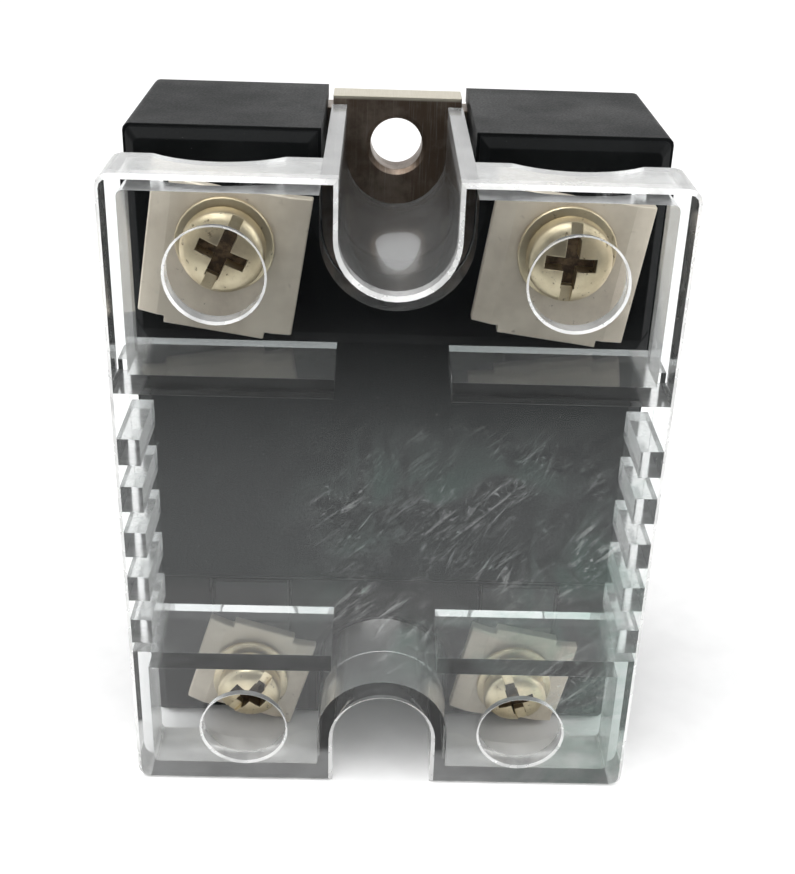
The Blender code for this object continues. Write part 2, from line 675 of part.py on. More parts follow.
def build_clamp(name, kind, parent, tilt):
    """Saddle plate with a tongue. Its two side wings bend back towards the strap."""
    half = (BAY_OUTSIDE - BAY_INSIDE) / 2 - kind["bay_clearance"]
    flat = half - WING_WIDTH
    tongue = flat - NIB_LENGTH
    front = clamp_front()
    drop = CLAMP_STANDOFF - REST_GAP
    outer = kind["end"] * kind["outer_reach"]
    inner = -kind["end"] * kind["inner_reach"]
    shoulder = inner + kind["end"] * NIB_LENGTH
    columns = [(-half, drop, shoulder), (-flat, 0, shoulder), (-tongue, 0, shoulder)]
    columns += [(-tongue, 0, inner), (tongue, 0, inner)]
    columns += [(tongue, 0, shoulder), (flat, 0, shoulder), (half, drop, shoulder)]
    columns += [(half, drop, outer), (flat, 0, outer), (-flat, 0, outer), (-half, drop, outer)]
    mesh = bmesh.new()
    near = [mesh.verts.new((x, front + back, z)) for x, back, z in columns]
    far = [mesh.verts.new((x, front + CLAMP_THICKNESS + back, z)) for x, back, z in columns]
    for ring in (near, far):
        mesh.faces.new([ring[i] for i in (0, 1, 10, 11)])
        mesh.faces.new([ring[i] for i in (1, 2, 3, 4, 5, 6, 9, 10)])
        mesh.faces.new([ring[i] for i in (6, 7, 8, 9)])
    for i in range(len(columns)):
        j = (i + 1) % len(columns)
        mesh.faces.new((near[i], near[j], far[j], far[i]))
    plate = finished(f"{name}_clamp_plate", mesh, PLATE_METAL, parent=parent, turn=tilt)
    hole = bmesh.new()
    radius = kind["shank_radius"] + HOLE_CLEARANCE
    add_round(hole, 0, 0, radius, front - THROUGH, front + THROUGH)
    cut(plate, hole)
    return plate


def build_washer(name, kind, parent):
    """Dished washer that spreads towards the clamp plate."""
    front = head_back() + REST_GAP
    inner = kind["shank_radius"] + HOLE_CLEARANCE
    outer = kind["washer_radius"]
    dish = WASHER_THICKNESS * 0.35
    profile = [
        (inner, front),
        (kind["head_radius"] - REST_GAP, front),
        (outer, front + dish),
        (outer, front + WASHER_THICKNESS),
        (inner, front + WASHER_THICKNESS),
    ]
    mesh = bmesh.new()
    add_turned(mesh, profile, ROUND_STEPS)
    return finished(f"{name}_washer", mesh, SCREW_METAL, smooth=True, parent=parent)


def build_screw(name, kind, parent, slot_angle):
    """Pan-head screw with a recess for a cross or a flat driver."""
    radius = kind["head_radius"]
    back = head_back()
    front = back - kind["head_height"]
    shank = kind["shank_radius"]
    tip = shank_tip(kind)
    chamfer = shank * 0.25
    crown = kind["head_height"] * 0.45
    profile = [(0, front)]
    for a, b in arc(0, 0, 1, 65, 0, 4):
        profile.append((radius * a, front + crown * (1 - b)))
    profile += [(radius, back), (shank, back), (shank, tip - chamfer), (shank - chamfer, tip)]
    profile.append((0, tip))
    mesh = bmesh.new()
    add_turned(mesh, profile, ROUND_STEPS)
    screw = finished(
        f"{name}_screw", mesh, SCREW_METAL, smooth=True, parent=parent, turn=slot_angle
    )
    wide = RECESS_WIDTH / 2
    arm = radius * 0.6
    cross = [(wide, arm), (wide, wide), (arm, wide), (arm, -wide), (wide, -wide), (wide, -arm)]
    cross += [(-a, -b) for a, b in cross]
    recess = bmesh.new()
    add_prism(recess, cross, front - THROUGH, front + RECESS_DEPTH)
    cut(screw, recess)
    slot = bmesh.new()
    narrow = SLOT_WIDTH / 2
    low = (-narrow, front - THROUGH / 2, -radius - THROUGH)
    add_box(slot, low, (narrow, front + SLOT_DEPTH, radius + THROUGH))
    cut(screw, slot)
    return screw


def build_nut(name, kind, parent):
    front = STRAP_SINK + STRAP_THICKNESS + REST_GAP
    back = front + kind["nut_height"]
    mesh = bmesh.new()
    add_prism(mesh, hexagon(0, 0, kind["nut_flats"]), front, back)
    nut = finished(f"{name}_nut", mesh, SCREW_METAL, parent=parent)
    bore = bmesh.new()
    add_round(bore, 0, 0, kind["shank_radius"] + REST_GAP / 4, front - THROUGH, back + THROUGH)
    cut(nut, bore)
    return nut


def build_strap(name, kind, parent):
    """Terminal land, a leg through the housing's front wall, and a foot behind it."""
    front = STRAP_SINK
    back = front + STRAP_THICKNESS
    foot_back = (PAD_Y if kind is LOAD else BOARD_Y) - REST_GAP - FLOOR_Y
    leg = leg_reach(kind)
    far = leg + STRAP_THICKNESS
    end = far + kind["foot_length"]
    outer = kind["strap_width"] / 2
    side_view = [(front, -outer), (front, far), (foot_back - STRAP_THICKNESS, far)]
    side_view += [(foot_back - STRAP_THICKNESS, end), (foot_back, end), (foot_back, leg)]
    side_view += [(back, leg), (back, -outer)]
    outline = [(level, -kind["end"] * reach) for level, reach in side_view]
    mesh = bmesh.new()
    add_prism(mesh, outline, -outer, outer, axis="X")
    strap = finished(f"{name}_strap", mesh, TINNED_COPPER, parent=parent)
    hole = bmesh.new()
    radius = kind["shank_radius"] + HOLE_CLEARANCE
    add_round(hole, 0, 0, radius, front - THROUGH, back + THROUGH)
    cut(strap, hole)
    return strap


def build_terminal(name):
    kind, side, tilt, slot_angle = TERMINALS[name]
    x, z = screw_place(kind, side)
    axis = bpy.data.objects.new(f"{name}_axis", None)
    axis.location = (x, FLOOR_Y, z)
    bpy.context.scene.collection.objects.link(axis)
    build_strap(name, kind, axis)
    build_nut(name, kind, axis)
    build_clamp(name, kind, axis, tilt)
    build_washer(name, kind, axis)
    build_screw(name, kind, axis, slot_angle)


def board_span():
    """Lower and upper edge of the control board, clear of the straps' legs."""
    _x, low_z = screw_place(CONTROL, 1)
    _x, high_z = screw_place(LOAD, 1)
    low = low_z + leg_reach(CONTROL) + STRAP_THICKNESS + BOARD_LOWER_MARGIN
    high = high_z - leg_reach(LOAD) - STRAP_THICKNESS - BOARD_UPPER_MARGIN
    return low, high


def build_power_stage():
    half = CERAMIC_HALF_WIDTH
    low = CERAMIC_Z - CERAMIC_HEIGHT / 2
    high = CERAMIC_Z + CERAMIC_HEIGHT / 2
    back = CERAMIC_Y + CERAMIC_THICKNESS
    boxed("ceramic_substrate", (-half, CERAMIC_Y, low), (half, back, high), CERAMIC)

    left = -half + CERAMIC_MARGIN
    right = half - CERAMIC_MARGIN
    split = right - SOURCE_PAD_WIDTH
    bottom = low + CERAMIC_MARGIN
    top = high - CERAMIC_MARGIN
    gate_top = bottom + GATE_PAD_HEIGHT
    pad_back = PAD_Y + PAD_THICKNESS
    drain_low = (left, PAD_Y, gate_top + PAD_SPACE)
    boxed("drain_pad", drain_low, (split - PAD_SPACE, pad_back, top), BARE_COPPER)
    boxed("source_pad", (split, PAD_Y, bottom), (right, pad_back, top), BARE_COPPER)
    gate_high = (split - PAD_SPACE, pad_back, gate_top)
    boxed("gate_pad", (left, PAD_Y, bottom), gate_high, BARE_COPPER)

    first_die = -DIES_OFFSET - DIE_PITCH / 2
    for number in range(2):
        x = first_die + number * DIE_PITCH
        die_low = (x - DIE_SIZE / 2, DIE_Y, BRIDGE_Z - DIE_SIZE / 2)
        die_high = (x + DIE_SIZE / 2, DIE_Y + DIE_THICKNESS, BRIDGE_Z + DIE_SIZE / 2)
        boxed(f"power_die_{number + 1}", die_low, die_high, SILICON)

    clip_left = first_die - DIE_SIZE / 2 + CERAMIC_MARGIN
    leg = split + CERAMIC_MARGIN
    clip_right = right - CERAMIC_MARGIN
    clip_back = CLIP_Y + CLIP_THICKNESS
    leg_back = PAD_Y - REST_GAP
    outline = [(clip_left, CLIP_Y), (clip_right, CLIP_Y), (clip_right, leg_back)]
    outline += [(leg, leg_back), (leg, clip_back), (clip_left, clip_back)]
    mesh = bmesh.new()
    add_prism(mesh, outline, BRIDGE_Z - CLIP_HEIGHT / 2, BRIDGE_Z + CLIP_HEIGHT / 2, axis="Z")
    finished("source_clip", mesh, TINNED_COPPER)


def pin_places():
    """X and Z of the two pins from the board to the gate pad and to the source pad."""
    bottom = CERAMIC_Z - CERAMIC_HEIGHT / 2 + CERAMIC_MARGIN
    z = bottom + GATE_PAD_HEIGHT / 2
    return {"gate_pin": (-CERAMIC_HALF_WIDTH / 2, z), "source_pin": (CERAMIC_HALF_WIDTH / 2, z)}


def build_pins():
    for name, (x, z) in pin_places().items():
        mesh = bmesh.new()
        add_round(mesh, 0, 0, PIN_RADIUS, POTTING_Y, PAD_Y - REST_GAP, SMALL_STEPS)
        finished(name, mesh, TINNED_COPPER, smooth=True, place=(x, 0, z))


def build_board():
    low, high = board_span()
    half = HOUSING_WIDTH / 2 - HOUSING_WALL - BOARD_SIDE_MARGIN
    back = BOARD_Y + BOARD_THICKNESS
    boxed("control_board", (-half, BOARD_Y, low), (half, back, high), BOARD_GREEN)


def build_potting():
    inset = HOUSING_WALL + REST_GAP
    end = POTTING_Y + POTTING_THICKNESS
    mesh = bmesh.new()
    add_prism(mesh, housing_outline(inset, NOTCH_WALL + REST_GAP), POTTING_Y, end)
    potting = finished("potting_slab", mesh, POTTING)
    holes = bmesh.new()
    for kind, side, _tilt, _slot in TERMINALS.values():
        if kind is LOAD:
            leg_slot(holes, kind, side, POTTING_Y - THROUGH, end + THROUGH)
    for x, z in pin_places().values():
        add_round(
            holes, x, z, PIN_RADIUS + REST_GAP, POTTING_Y - THROUGH, end + THROUGH, SMALL_STEPS
        )
    cut(potting, holes)


def board_middle():
    low, high = board_span()
    return (low + high) / 2


def chip_body(name, sizes, look):
    """A component's body, which narrows towards its top, placed in front of the board."""
    x, z, width, depth, height = sizes
    back = BOARD_Y - REST_GAP
    half = width / 2
    taper = min(depth, width) * CHIP_TAPER
    foot = back - CHIP_LIFT
    profile = [(-half, foot), (-half, back - depth / 2), (-half + taper, back - depth)]
    profile += [(half - taper, back - depth), (half, back - depth / 2), (half, foot)]
    mesh = bmesh.new()
    add_prism(mesh, profile, -height / 2, height / 2, axis="Z")
    return finished(name, mesh, look, place=(x, 0, board_middle() + z))


def build_capped_chip(name, sizes, look):
    """A flat component with a metal cap at each end."""
    _x, _z, width, depth, height = sizes
    chip = chip_body(name, sizes, look)
    back = BOARD_Y - REST_GAP
    half_height = height * CAP_SHARE / 2
    caps = bmesh.new()
    for side in (-1, 1):
        ends = sorted((side * (width / 2 + CAP_REACH), side * (width / 2 - CAP_REACH)))
        low = (ends[0], back - depth * CAP_SHARE, -half_height)
        add_box(caps, low, (ends[1], back, half_height))
    join(chip, caps)


def build_leaded_chip(name, sizes, rows, look):
    """A moulded component with a row of bent leads at each side."""
    _x, _z, width, depth, height = sizes
    chip = chip_body(name, sizes, look)
    back = BOARD_Y - REST_GAP
    shoulder = back - depth * LEAD_LEVEL
    near = width / 2 - LEAD_SINK
    far = width / 2 + LEAD_REACH
    knee = far - LEAD_FOOT
    profile = [(near, shoulder - LEAD_THICKNESS), (far, shoulder - LEAD_THICKNESS), (far, back)]
    profile += [(knee, back), (knee, shoulder), (near, shoulder)]
    pitch = height / rows
    half_lead = pitch * LEAD_SHARE / 2
    leads = bmesh.new()
    for side in (-1, 1):
        outline = [(side * across, level) for across, level in profile]
        for row in range(rows):
            z = (row - (rows - 1) / 2) * pitch
            add_prism(leads, outline, z - half_lead, z + half_lead, axis="Z")
    bmesh.ops.recalc_face_normals(leads, faces=leads.faces)
    join(chip, leads)


def build_zener():
    """Glass cylinder with two end caps, lying across the board."""
    end = ZENER_LENGTH / 2
    inner = end - ZENER_CAP_LENGTH
    cap = ZENER_CAP_RADIUS
    profile = [(0, -end), (cap, -end), (cap, -inner), (ZENER_RADIUS, -inner)]
    profile += [(ZENER_RADIUS, inner), (cap, inner), (cap, end), (0, end)]
    mesh = bmesh.new()
    add_turned(mesh, profile, SMALL_STEPS)
    zener = finished("zener_diode", mesh, DIODE_GLASS, smooth=True)
    x, z = ZENER_PLACE
    zener.location = (x, BOARD_Y - REST_GAP - cap, board_middle() + z)
    zener.rotation_euler[2] = math.radians(90)


def build_components():
    for name, sizes in CAPPED_CHIPS.items():
        look = CHIP_BLACK if name == "reverse_diode" else CHIP_CERAMIC
        build_capped_chip(name, sizes, look)
    for name, (*sizes, rows) in LEADED_CHIPS.items():
        build_leaded_chip(name, sizes, rows, CHIP_BLACK)
    build_zener()


build_baseplate()
build_housing()
build_cover()
for terminal_name in TERMINALS:
    build_terminal(terminal_name)
build_power_stage()
build_pins()
build_board()
build_potting()
build_components()
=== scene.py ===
"""Looks of a panel-mount solid state relay with a clear terminal cover, around its CAD frame."""

import json
import math

import bmesh
import bpy
from mathutils import Matrix, Vector


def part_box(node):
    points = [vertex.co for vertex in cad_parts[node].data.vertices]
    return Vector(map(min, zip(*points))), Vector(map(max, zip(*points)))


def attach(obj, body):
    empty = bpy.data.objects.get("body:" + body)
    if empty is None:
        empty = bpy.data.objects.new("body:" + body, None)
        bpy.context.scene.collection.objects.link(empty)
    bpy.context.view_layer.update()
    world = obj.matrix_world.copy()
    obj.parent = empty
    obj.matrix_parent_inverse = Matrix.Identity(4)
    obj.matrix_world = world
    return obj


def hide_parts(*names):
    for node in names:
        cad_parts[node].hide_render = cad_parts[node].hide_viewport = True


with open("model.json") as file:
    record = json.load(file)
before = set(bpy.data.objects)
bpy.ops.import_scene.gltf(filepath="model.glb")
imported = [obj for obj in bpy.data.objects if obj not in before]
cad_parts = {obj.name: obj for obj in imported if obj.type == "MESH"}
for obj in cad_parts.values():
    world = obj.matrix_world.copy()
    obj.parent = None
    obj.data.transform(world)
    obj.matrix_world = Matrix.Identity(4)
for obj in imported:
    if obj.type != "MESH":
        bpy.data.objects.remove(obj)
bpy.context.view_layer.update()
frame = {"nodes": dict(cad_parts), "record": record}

MM = 0.001
NODES = frame["nodes"]
BODY_OF = {
    node: body
    for body, members in frame["record"]["behaviour"]["bodies"].items()
    for node in members
}
SLOT_OF = {row["node"]: row["material_slot"] for row in frame["record"]["subparts"]}


# ---------------------------------------------------------------- node tree helpers

# The Mix node has sockets for every data type. These are the factor and the two colours.
MIX_RGBA_INPUTS = (0, 6, 7)
MIX_RGBA_OUTPUT = 2


class Tree:
    """A material's node tree, with one short call for each kind of node."""

    def __init__(self, name):
        self.material = bpy.data.materials.new(name)
        self.material.use_nodes = True
        self.tree = self.material.node_tree
        self.shader = self.tree.nodes["Principled BSDF"]
        self.coordinates = self.add("ShaderNodeTexCoord").outputs["Object"]

    def add(self, kind, **settings):
        node = self.tree.nodes.new(kind)
        for key, value in settings.items():
            setattr(node, key, value)
        return node

    def link(self, start, end):
        self.tree.links.new(start, end)

    def set(self, **values):
        for key, value in values.items():
            self.shader.inputs[key.replace("_", " ")].default_value = value

    def stretched(self, scale, turn=0.0):
        """Object coordinates, turned about Y and then scaled. The scale is per metre."""
        turned = self.add("ShaderNodeMapping")
        turned.inputs["Rotation"].default_value = (0.0, turn, 0.0)
        scaled = self.add("ShaderNodeMapping")
        scaled.inputs["Scale"].default_value = scale
        self.link(self.coordinates, turned.inputs["Vector"])
        self.link(turned.outputs["Vector"], scaled.inputs["Vector"])
        return scaled.outputs["Vector"]

    def noise(self, scale, detail=4.0, roughness=0.55, distortion=0.0, vector=None):
        """Fractal noise. The scale is features per metre, or per unit of the vector given."""
        node = self.add("ShaderNodeTexNoise")
        node.inputs["Scale"].default_value = scale
        node.inputs["Detail"].default_value = detail
        node.inputs["Roughness"].default_value = roughness
        node.inputs["Distortion"].default_value = distortion
        self.link(vector or self.coordinates, node.inputs["Vector"])
        return node.outputs["Fac"]

    def ramp(self, value, low, high, start=0.0, end=1.0):
        """Map low..high of the value smoothly to start..end, clamped."""
        node = self.add("ShaderNodeMapRange", interpolation_type="SMOOTHSTEP")
        for key, number in (
            ("From Min", low), ("From Max", high), ("To Min", start), ("To Max", end)
        ):
            node.inputs[key].default_value = number
        self.link(value, node.inputs["Value"])
        return node.outputs["Result"]

    def math(self, operation, a, b=0.0):
        node = self.add("ShaderNodeMath", operation=operation)
        for socket, value in zip(node.inputs, (a, b)):
            if isinstance(value, (int, float)):
                socket.default_value = value
            else:
                self.link(value, socket)
        return node.outputs["Value"]

    def mix(self, factor, a, b):
        """Mix two colours. Each is a colour or an output, and the factor is an output."""
        node = self.add("ShaderNodeMix", data_type="RGBA")
        factor_socket, a_socket, b_socket = (node.inputs[i] for i in MIX_RGBA_INPUTS)
        self.link(factor, factor_socket)
        for socket, value in ((a_socket, a), (b_socket, b)):
            if isinstance(value, tuple):
                socket.default_value = (*value, 1.0)
            else:
                self.link(value, socket)
        return node.outputs[MIX_RGBA_OUTPUT]

    def where(self, axis):
        """One coordinate in metres."""
        node = self.add("ShaderNodeSeparateXYZ")
        self.link(self.coordinates, node.inputs["Vector"])
        return node.outputs[axis]

    def facing(self, axis):
        """One component of the surface's direction in the object's own frame."""
        node = self.add("ShaderNodeSeparateXYZ")
        self.link(self.add("ShaderNodeTexCoord").outputs["Normal"], node.inputs["Vector"])
        return node.outputs[axis]

    def bump(self, height, distance, strength=1.0, edge=0.0):
        """Surface relief, over edges that are rounded by a small radius."""
        node = self.add("ShaderNodeBump")
        node.inputs["Distance"].default_value = distance
        node.inputs["Strength"].default_value = strength
        self.link(height, node.inputs["Height"])
        if edge:
            rounded = self.add("ShaderNodeBevel", samples=4)
            rounded.inputs["Radius"].default_value = edge
            self.link(rounded.outputs["Normal"], node.inputs["Normal"])
        self.link(node.outputs["Normal"], self.shader.inputs["Normal"])

    def colour(self, output):
        self.link(output, self.shader.inputs["Base Color"])

    def rough(self, output):
        self.link(output, self.shader.inputs["Roughness"])


# ---------------------------------------------------------------- materials

COVER_LOW, COVER_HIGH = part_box("clear_cover")
HOUSING_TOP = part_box("housing")[1].z


def black_plastic():
    """Moulded black housing: fine texture, dull rubbed patches and a few pale specks."""
    t = Tree("housing_plastic")
    t.set(IOR=1.52, Specular_IOR_Level=0.07)
    cloud = t.noise(110, 5)
    fine = t.noise(5200, 3)
    base = t.mix(t.ramp(cloud, 0.35, 0.7), (0.0022, 0.0027, 0.0029), (0.0065, 0.0074, 0.0078))
    specks = t.ramp(t.noise(2600, 2), 0.74, 0.79)
    base = t.mix(t.math("MULTIPLY", specks, 0.35), base, (0.30, 0.30, 0.29))
    t.colour(base)
    rough = t.ramp(cloud, 0.3, 0.75, 0.36, 0.52)
    t.rough(t.math("ADD", rough, t.ramp(fine, 0.3, 0.7, -0.05, 0.05)))
    t.bump(fine, 0.03 * MM, 0.5, edge=0.22 * MM)
    return t.material


def frosting_and_painted_light(t, x, y, z):
    """Whitish share of the cut edges: frosting, weak on the ribs' broad faces, and painted light
    that makes it strong on the outer walls, the bottom wall and the low front, with a painted
    highlight on the front's slanted rims.
    """
    # Painted light: the wall, bottom and sill shares whiten clear plastic to stand in for the lit
    # table and lamps seen through it. The rim share is a painted highlight.
    wall_painted_light, edge_share, sheet_share, bottom_painted_light = 0.19, 0.075, 0.42, 0.92
    back_share, sill_painted_light, rim_painted_highlight = 0.62, 0.15, 0.6
    half_right_angle = 0.707
    tilt = t.math("ABSOLUTE", t.facing("Y"))
    edge = t.ramp(tilt, 0.75, 0.35)
    side = t.ramp(t.math("ABSOLUTE", x), COVER_HIGH.x - 2.6 * MM, COVER_HIGH.x - 2.1 * MM)
    top = t.ramp(z, COVER_HIGH.z - 1.8 * MM, COVER_HIGH.z - 1.4 * MM)
    bottom = t.ramp(z, 1.8 * MM, 1.4 * MM)
    sheet = t.ramp(y, COVER_LOW.y + 1.6 * MM, COVER_LOW.y + 1.4 * MM)
    # Painted light on the outer side and top walls.
    share = t.math("MULTIPLY", t.math("MAXIMUM", side, top), wall_painted_light)
    share = t.math("ADD", share, edge_share)
    share = t.math("MAXIMUM", share, t.math("MULTIPLY", sheet, sheet_share))
    # Painted light on the bottom wall, for the lit table seen through it.
    share = t.math("MAXIMUM", share, t.math("MULTIPLY", bottom, bottom_painted_light))
    deep = t.ramp(y, COVER_LOW.y + 5.0 * MM, COVER_LOW.y + 5.6 * MM)
    back = t.math("MULTIPLY", t.ramp(t.facing("Y"), 0.6, 0.9), deep)
    back = t.math("MULTIPLY", back, back_share)
    share = t.math("MAXIMUM", t.math("MULTIPLY", share, edge), back)
    # Painted light on the low front strip, for the lit table seen through it.
    sill = t.math("MULTIPLY", t.ramp(z, 4.4 * MM, 3.2 * MM), t.math("SUBTRACT", 1.0, edge))
    share = t.math("MAXIMUM", share, t.math("MULTIPLY", sill, sill_painted_light))
    slant = t.math("ABSOLUTE", t.math("SUBTRACT", tilt, half_right_angle))
    # Painted highlight on the slanted rims of the front.
    rims = t.math("MULTIPLY", t.ramp(slant, 0.2, 0.1), sheet)
    share = t.math("MAXIMUM", share, t.math("MULTIPLY", rims, rim_painted_highlight))
    uneven = t.ramp(t.noise(420, 4, 0.6), 0.3, 0.7, 0.72, 1.08)
    return t.math("MULTIPLY", share, uneven)


def scuffs(t, x, y, z):
    """How far each point of the front is smeared, scraped or speckled, and the film under it."""
    front = t.ramp(y, COVER_LOW.y + 0.5 * MM, COVER_LOW.y + 0.05 * MM)
    from_centre = t.math("ABSOLUTE", t.math("SUBTRACT", x, 5 * MM))
    across = t.ramp(from_centre, 17 * MM, 5 * MM)
    middle = t.math("MULTIPLY", t.ramp(z, 9 * MM, 17 * MM), t.ramp(z, 41 * MM, 31 * MM))
    zone = t.math("MULTIPLY", across, middle)
    side = t.math("MULTIPLY", t.ramp(x, 8 * MM, 17 * MM), t.ramp(z, 44 * MM, 24 * MM))
    zone = t.math("MULTIPLY", t.math("MAXIMUM", zone, side), front)
    clumps = t.ramp(t.noise(210, 5, 0.62, 0.6), 0.40, 0.66)
    rubs = t.noise(1.0, 4, 0.65, 0.5, t.stretched((260, 1, 2000), 0.75))
    wipes = t.noise(1.0, 4, 0.65, 0.5, t.stretched((330, 1, 2300), 1.15))
    strokes = t.math("MAXIMUM", t.ramp(rubs, 0.50, 0.72), t.ramp(wipes, 0.54, 0.74))
    specks = t.ramp(t.noise(2600, 3, 0.65), 0.57, 0.70)
    strokes = t.math("MULTIPLY", t.math("MAXIMUM", strokes, specks), clumps)
    nicks = t.noise(1.0, 2, 0.5, 0.1, t.stretched((150, 1, 2600), 0.95))
    strokes = t.math("MAXIMUM", strokes, t.math("MULTIPLY", t.ramp(nicks, 0.70, 0.76), 0.55))
    lone = t.math("MULTIPLY", t.ramp(t.noise(1500, 2), 0.735, 0.775), front)
    strokes = t.math("MULTIPLY", strokes, zone)
    strokes = t.math("MAXIMUM", strokes, t.math("MULTIPLY", lone, 0.5))
    film = t.math("MULTIPLY", t.ramp(t.noise(130, 5, 0.6, 0.8), 0.40, 0.62), zone)
    return strokes, film


def clear_plastic():
    """Clear moulded plastic with frosted edges, and painted light that whitens its outer walls,
    bottom, low front and front rims. Its front is scuffed, most of all at the right.
    """
    t = Tree("cover_plastic")
    t.set(IOR=1.49)
    x = t.where("X")
    y = t.where("Y")
    z = t.where("Z")
    strokes, film = scuffs(t, x, y, z)
    frost_and_painted_light = frosting_and_painted_light(t, x, y, z)
    strokes_haze, film_haze = 0.22, 0.055
    haze = t.math("MULTIPLY", strokes, strokes_haze)
    haze = t.math("ADD", haze, t.math("MULTIPLY", film, film_haze))
    haze = t.math("MAXIMUM", haze, frost_and_painted_light)
    film_tint = t.mix(film, (0.97, 0.985, 0.985), (0.50, 0.66, 0.60))
    greenish = t.ramp(t.noise(160, 3), 0.5, 0.6)
    strokes_tint = t.mix(greenish, (0.88, 0.90, 0.88), (0.50, 0.66, 0.56))
    tint = t.mix(strokes, film_tint, strokes_tint)
    # This whitening is frost and painted light together.
    t.colour(t.mix(t.math("MULTIPLY", frost_and_painted_light, 1.6), tint, (0.97, 0.97, 0.96)))
    t.link(t.math("SUBTRACT", 1.0, haze), t.shader.inputs["Transmission Weight"])
    grease = t.ramp(t.noise(90, 4), 0.35, 0.75, 0.0, 0.04)
    t.rough(t.math("ADD", t.math("MULTIPLY", haze, 0.45), t.math("ADD", grease, 0.012)))
    t.bump(t.noise(160, 2), 0.04 * MM, 0.3)
    return t.material


def base_metal():
    """Plated baseplate with milling lines: mottled dark brown, paler on the faces turned back, and
    pale along the top lip above the housing.
    """
    t = Tree("baseplate_metal")
    t.set(Metallic=0.9)
    cloud = t.noise(160, 6, 0.62)
    brown_mottle = t.ramp(cloud, 0.38, 0.62)
    lines = t.noise(1.0, 3, 0.6, 0.0, t.stretched((9000, 400, 250)))
    base = t.mix(brown_mottle, (0.30, 0.245, 0.20), (0.13, 0.095, 0.07))
    paler_back = t.mix(brown_mottle, (0.43, 0.40, 0.36), (0.36, 0.33, 0.29))
    base = t.mix(t.ramp(t.facing("Y"), 0.5, 0.9), base, paler_back)
    # Pale along the top lip, above the housing's top.
    up = t.ramp(t.where("Z"), HOUSING_TOP - 0.8 * MM, HOUSING_TOP - 0.55 * MM)
    base = t.mix(up, base, (0.60, 0.56, 0.46))
    t.colour(t.mix(t.ramp(lines, 0.5, 0.75, 0.0, 0.25), base, (0.55, 0.52, 0.47)))
    rough = t.ramp(cloud, 0.3, 0.7, 0.30, 0.46)
    t.rough(t.math("ADD", rough, t.ramp(lines, 0.3, 0.7, -0.05, 0.06)))
    t.bump(lines, 0.02 * MM, 0.4, edge=0.12 * MM)
    return t.material


def stamped_plate():
    """Plated clamp plates: warm grey and satin, with small brown stains."""
    t = Tree("clamp_plate_metal")
    t.set(Metallic=0.35)
    cloud = t.noise(260, 6, 0.6)
    grain = t.noise(6500, 3)
    base = t.mix(t.ramp(cloud, 0.35, 0.7), (0.82, 0.745, 0.63), (0.68, 0.61, 0.51))
    spots = t.ramp(t.noise(1100, 4, 0.7), 0.64, 0.72)
    base = t.mix(t.math("MULTIPLY", spots, 0.55), base, (0.20, 0.15, 0.10))
    t.colour(base)
    rough = t.ramp(cloud, 0.3, 0.7, 0.46, 0.60)
    t.rough(t.math("ADD", rough, t.ramp(grain, 0.3, 0.7, -0.04, 0.05)))
    t.bump(grain, 0.02 * MM, 0.5)
    return t.material


def screw_metal():
    """Yellowish plated steel, dotted with brown spots. Its recess gets the dark finish of dirt and
    painted shade.
    """
    t = Tree("screw_metal")
    t.set(Metallic=0.92)
    cloud = t.noise(420, 6, 0.62)
    spots = t.ramp(t.noise(1500, 5, 0.7), 0.60, 0.70)
    base = t.mix(t.ramp(cloud, 0.35, 0.7), (0.80, 0.70, 0.50), (0.66, 0.56, 0.38))
    base = t.mix(t.math("MULTIPLY", spots, 0.75), base, (0.14, 0.095, 0.055))
    t.colour(base)
    rough = t.ramp(cloud, 0.3, 0.7, 0.30, 0.46)
    t.rough(t.math("ADD", rough, t.math("MULTIPLY", spots, 0.25)))
    relief = t.math("ADD", cloud, t.math("MULTIPLY", spots, -0.4))
    t.bump(relief, 0.05 * MM, 0.45, edge=0.12 * MM)
    return t.material


def grime_and_shade():
    """Dark brown dirt and old flux at the bottom of a screw's recess, with painted shade of the
    recess in the same colour.
    """
    t = Tree("recess_grime_and_shade")
    cloud = t.noise(1400, 6, 0.7)
    t.set(Metallic=0.15)
    # Painted shade as well as dirt: this dark brown darkens the whole recess.
    t.colour(t.mix(t.ramp(cloud, 0.4, 0.65), (0.055, 0.032, 0.016), (0.16, 0.11, 0.06)))
    t.rough(t.ramp(cloud, 0.3, 0.7, 0.45, 0.8))
    t.bump(cloud, 0.12 * MM, 0.7)
    return t.material


def sealed_strap():
    """Tinned copper strap, with black sealing compound over its leg and the land next to it."""
    t = Tree("tinned_strap")
    lower_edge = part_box("control_left_clamp_plate")[1].z - 1.6 * MM
    upper_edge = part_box("load_left_clamp_plate")[0].z + 1.6 * MM
    z = t.where("Z")
    sealed = t.math(
        "MULTIPLY",
        t.ramp(z, lower_edge, lower_edge + 0.3 * MM),
        t.ramp(z, upper_edge + 0.3 * MM, upper_edge),
    )
    cloud = t.noise(500, 5)
    tin = t.mix(t.ramp(cloud, 0.35, 0.68), (0.36, 0.34, 0.30), (0.50, 0.47, 0.42))
    t.colour(t.mix(sealed, tin, (0.008, 0.009, 0.010)))
    t.link(t.ramp(sealed, 0.0, 1.0, 0.7, 0.0), t.shader.inputs["Metallic"])
    t.rough(t.ramp(cloud, 0.3, 0.7, 0.40, 0.56))
    t.bump(cloud, 0.02 * MM, 0.4)
    return t.material


def plain(name, dark, light, roughness, metallic=0.0):
    """Mottled finish for the pieces that are mostly hidden."""
    spread = 0.07
    t = Tree(name)
    t.set(Metallic=metallic)
    cloud = t.noise(500, 5)
    t.colour(t.mix(t.ramp(cloud, 0.35, 0.68), dark, light))
    t.rough(t.ramp(t.noise(3000, 3), 0.3, 0.7, roughness - spread, roughness + spread))
    t.bump(cloud, 0.02 * MM, 0.4)
    return t.material


